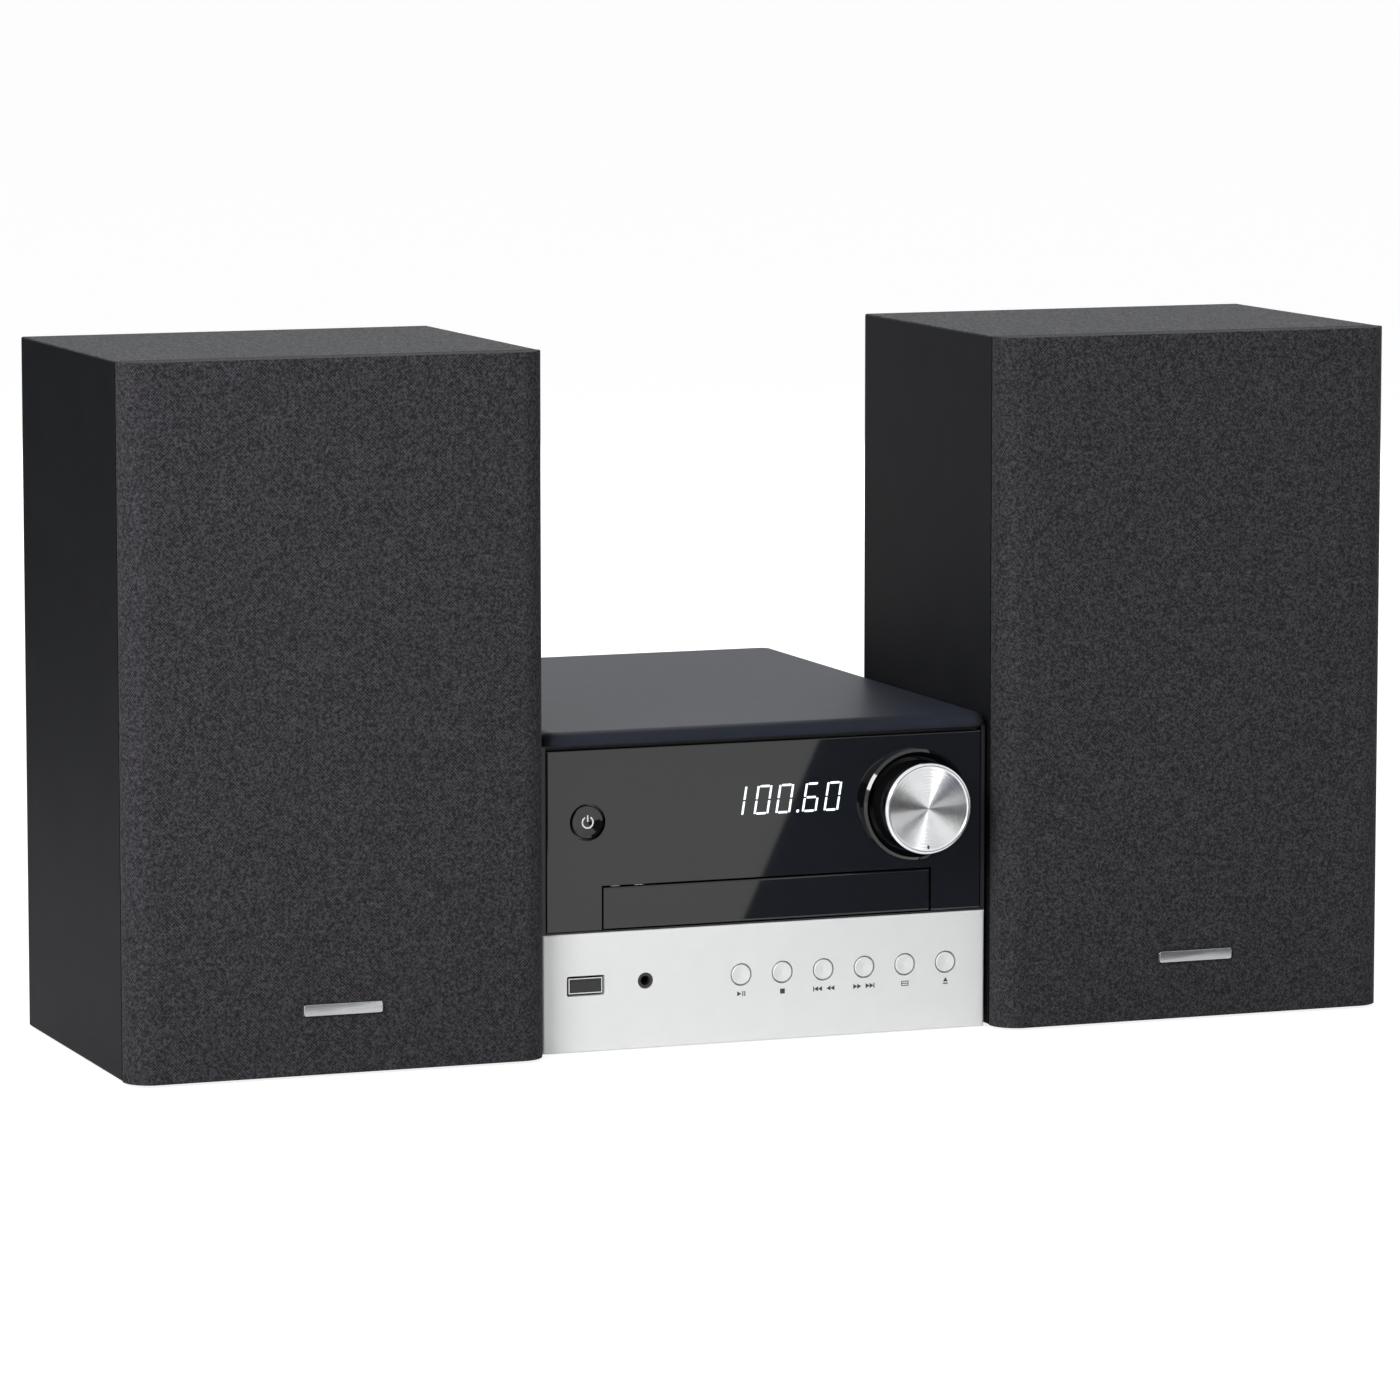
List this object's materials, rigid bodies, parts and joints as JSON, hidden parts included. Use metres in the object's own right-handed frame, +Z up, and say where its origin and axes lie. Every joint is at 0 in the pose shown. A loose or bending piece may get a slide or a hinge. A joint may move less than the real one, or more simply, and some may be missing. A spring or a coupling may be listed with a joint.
{
  "type": "mini hifi system",
  "caption": "Compact stereo set: a centre unit with a disc drawer, round volume knob and front keys, between two shelf speakers with cloth grilles.",
  "frame": {"origin": "on the shelf, at the middle of the set's footprint", "axes": "+Z up, +X to the right seen from the front, +Y from the front to the back"},
  "size_m": [0.5, 0.238, 0.262],
  "materials": {
    "lid_paint": "satin blue-grey metallic paint",
    "rear_paint": "black powder coat",
    "chassis_steel": "zinc-plated sheet",
    "silver_panel": "fine satin silver",
    "silver_key": "satin silver",
    "gloss_black": "piano gloss black",
    "frame_black": "moulded black",
    "knob_black": "gloss black",
    "knob_face": "spun face with bright bevel",
    "connector_black": "moulded black",
    "bright_steel": "nickel plated",
    "board_green": "solder resist",
    "supply_iron": "transformer core and supply board",
    "drive_plastic": "moulded dark grey",
    "gear_plastic": "acetal",
    "motor_steel": "plated can",
    "soft_rubber": "matt rubber",
    "cabinet_vinyl": "black vinyl over board, fine grain",
    "baffle_board": "painted board",
    "grille_plastic": "moulded black",
    "grille_fabric": "charcoal knitted cloth",
    "basket_steel": "black coated basket and magnet",
    "cone_paper": "coated paper",
    "tweeter_black": "moulded plate, cloth dome"
  },
  "bodies": {
    "main_unit": {"top_cover": "lid_paint", "bottom_chassis": "chassis_steel", "unit_feet": "soft_rubber", "silver_fascia": "silver_panel", "gloss_fascia": "gloss_black", "front_frame": "frame_black", "rear_panel": "rear_paint", "speaker_terminals": "connector_black", "mains_inlet": "connector_black", "antenna_socket": "bright_steel", "cover_screws": "bright_steel", "knob_bezel": "gloss_black", "volume_encoder": "bright_steel", "front_board": "board_green", "usb_socket": "bright_steel", "audio_in_jack": "connector_black", "loading_motor": "motor_steel", "drive_belt": "soft_rubber", "drive_frame": "drive_plastic", "main_board": "board_green", "power_board": "supply_iron"},
    "knob": {"volume_knob": "knob_black", "knob_cap": "knob_face"},
    "drawer": {"disc_drawer": "drive_plastic", "drawer_front": "gloss_black"},
    "loading_gear": {"loading_gear": "gear_plastic"},
    "motor_pulley": {"motor_pulley": "gear_plastic"},
    "traverse": {"traverse_frame": "drive_plastic"},
    "turntable": {"turntable": "gear_plastic"},
    "pickup": {"laser_pickup": "drive_plastic"},
    "clamp": {"disc_clamp": "gear_plastic"},
    "play_button": {"play_button": "silver_key"},
    "stop_button": {"stop_button": "silver_key"},
    "previous_button": {"previous_button": "silver_key"},
    "next_button": {"next_button": "silver_key"},
    "menu_button": {"menu_button": "silver_key"},
    "eject_button": {"eject_button": "silver_key"},
    "power_button": {"power_button": "gloss_black"},
    "left_speaker": {"left_cabinet": "cabinet_vinyl", "left_baffle": "baffle_board", "left_woofer_basket": "basket_steel", "left_woofer_surround": "soft_rubber", "left_tweeter": "tweeter_black", "left_port_tube": "connector_black", "left_terminal_cup": "connector_black", "left_pads": "soft_rubber"},
    "left_grille": {"left_grille_frame": "grille_plastic", "left_grille_cloth": "grille_fabric"},
    "left_cone": {"left_woofer_cone": "cone_paper"},
    "right_speaker": {"right_cabinet": "cabinet_vinyl", "right_baffle": "baffle_board", "right_woofer_basket": "basket_steel", "right_woofer_surround": "soft_rubber", "right_tweeter": "tweeter_black", "right_port_tube": "connector_black", "right_terminal_cup": "connector_black", "right_pads": "soft_rubber"},
    "right_grille": {"right_grille_frame": "grille_plastic", "right_grille_cloth": "grille_fabric"},
    "right_cone": {"right_woofer_cone": "cone_paper"}
  },
  "joints": [
    {"name": "volume_turn", "type": "hinge", "parent": "main_unit", "child": "knob", "pos_m": [0.0594, -0.112, 0.087], "axis": [0, -1, 0], "continuous": true},
    {"name": "play_press", "type": "slide", "parent": "main_unit", "child": "play_button", "axis": [0, 1, 0], "range_m": [0, 0.0008], "stiffness_N_per_m": 600, "springref_m": -0.0004},
    {"name": "stop_press", "type": "slide", "parent": "main_unit", "child": "stop_button", "axis": [0, 1, 0], "range_m": [0, 0.0008], "stiffness_N_per_m": 600, "springref_m": -0.0004},
    {"name": "previous_press", "type": "slide", "parent": "main_unit", "child": "previous_button", "axis": [0, 1, 0], "range_m": [0, 0.0008], "stiffness_N_per_m": 600, "springref_m": -0.0004},
    {"name": "next_press", "type": "slide", "parent": "main_unit", "child": "next_button", "axis": [0, 1, 0], "range_m": [0, 0.0008], "stiffness_N_per_m": 600, "springref_m": -0.0004},
    {"name": "menu_press", "type": "slide", "parent": "main_unit", "child": "menu_button", "axis": [0, 1, 0], "range_m": [0, 0.0008], "stiffness_N_per_m": 600, "springref_m": -0.0004},
    {"name": "eject_press", "type": "slide", "parent": "main_unit", "child": "eject_button", "axis": [0, 1, 0], "range_m": [0, 0.0008], "stiffness_N_per_m": 600, "springref_m": -0.0004},
    {"name": "power_press", "type": "slide", "parent": "main_unit", "child": "power_button", "axis": [0, 1, 0], "range_m": [0, 0.0008], "stiffness_N_per_m": 600, "springref_m": -0.0004},
    {"name": "drawer_slide", "type": "slide", "parent": "main_unit", "child": "drawer", "axis": [0, -1, 0], "range_m": [0, 0.13]},
    {"name": "loading_gear_turn", "type": "hinge", "parent": "main_unit", "child": "loading_gear", "pos_m": [0.0452, -0.077, 0.045], "axis": [0, 0, 1], "range_deg": [-830, 0]},
    {"name": "motor_pulley_turn", "type": "hinge", "parent": "main_unit", "child": "motor_pulley", "pos_m": [0.0092, -0.077, 0.042], "axis": [0, 0, 1], "range_deg": [-3225, 0]},
    {"name": "traverse_lift", "type": "hinge", "parent": "main_unit", "child": "traverse", "pos_m": [0.0007, 0.058, 0.038], "axis": [-1, 0, 0], "range_deg": [0, 6.5]},
    {"name": "turntable_spin", "type": "hinge", "parent": "traverse", "child": "turntable", "pos_m": [0.0007, -0.02943, 0.02804], "axis": [0, -0.1132, 0.9936], "continuous": true},
    {"name": "pickup_slide", "type": "slide", "parent": "traverse", "child": "pickup", "axis": [0, 0.9936, 0.1132], "range_m": [0, 0.034]},
    {"name": "clamp_spin", "type": "hinge", "parent": "main_unit", "child": "clamp", "pos_m": [0.0007, -0.03, 0.062], "axis": [0, 0, 1], "continuous": true},
    {"name": "left_speaker_place", "type": "slide", "parent": "main_unit", "child": "left_speaker", "axis": [-1, 0, 0], "range_m": [0, 0.25]},
    {"name": "left_grille_pull", "type": "slide", "parent": "left_speaker", "child": "left_grille", "axis": [0, -1, 0], "range_m": [0, 0.025]},
    {"name": "left_cone_travel", "type": "slide", "parent": "left_speaker", "child": "left_cone", "axis": [0, -1, 0], "range_m": [-0.003, 0.003], "stiffness_N_per_m": 1200, "deforming": ["left_woofer_surround"]},
    {"name": "right_speaker_place", "type": "slide", "parent": "main_unit", "child": "right_speaker", "axis": [1, 0, 0], "range_m": [0, 0.25]},
    {"name": "right_grille_pull", "type": "slide", "parent": "right_speaker", "child": "right_grille", "axis": [0, -1, 0], "range_m": [0, 0.025]},
    {"name": "right_cone_travel", "type": "slide", "parent": "right_speaker", "child": "right_cone", "axis": [0, -1, 0], "range_m": [-0.003, 0.003], "stiffness_N_per_m": 1200, "deforming": ["right_woofer_surround"]}
  ],
  "couplings": [
    {"joint": "loading_gear_turn", "follows": "drawer_slide", "rad_per_m": -111.11},
    {"joint": "motor_pulley_turn", "follows": "drawer_slide", "rad_per_m": -432.1}
  ]
}
